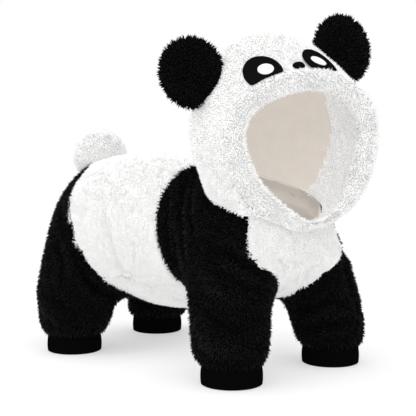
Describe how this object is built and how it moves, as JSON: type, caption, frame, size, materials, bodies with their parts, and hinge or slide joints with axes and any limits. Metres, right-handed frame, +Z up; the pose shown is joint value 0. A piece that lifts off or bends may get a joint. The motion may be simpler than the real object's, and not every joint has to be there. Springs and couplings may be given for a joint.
{
  "type": "dog jumpsuit",
  "caption": "Hooded plush jumpsuit for a small dog, hollow as if worn, with round ears, bear-cub face, ribbed cuffs and round tail.",
  "frame": {"origin": "middle of the footprint of the whole garment, on the surface that the four cuffs stand on", "axes": "+X towards the face, as the dog looks; +Y to the dog's left; +Z up"},
  "size_m": [0.3986, 0.2644, 0.39],
  "materials": {
    "white_plush": "white deep-pile plush, sheared fleece-like tufts about 4 mm long",
    "black_plush": "black deep-pile plush, tufts about 4 mm long, soft low sheen",
    "rib_knit": "black ribbed knit, one rib about every 3 mm",
    "fleece_lining": "light greige short-nap fleece",
    "black_felt": "black felt, close and matt",
    "white_felt": "white felt, close and matt"
  },
  "bodies": {
    "root": {"back_panel": "white_plush", "belly_panel": "white_plush", "neck_lining": "fleece_lining", "sleeve_right": "black_plush", "hind_leg_right": "black_plush", "cuff_front_right": "rib_knit", "cuff_hind_right": "rib_knit", "hood_right": "white_plush", "hood_lining_right": "fleece_lining", "ear_right": "black_plush", "eye_patch_right": "black_felt", "eye_right": "white_felt", "sleeve_left": "black_plush", "hind_leg_left": "black_plush", "cuff_front_left": "rib_knit", "cuff_hind_left": "rib_knit", "hood_left": "white_plush", "hood_lining_left": "fleece_lining", "ear_left": "black_plush", "eye_patch_left": "black_felt", "eye_left": "white_felt", "face_band": "white_plush", "nose": "black_felt", "tail": "white_plush"}
  },
  "joints": []
}
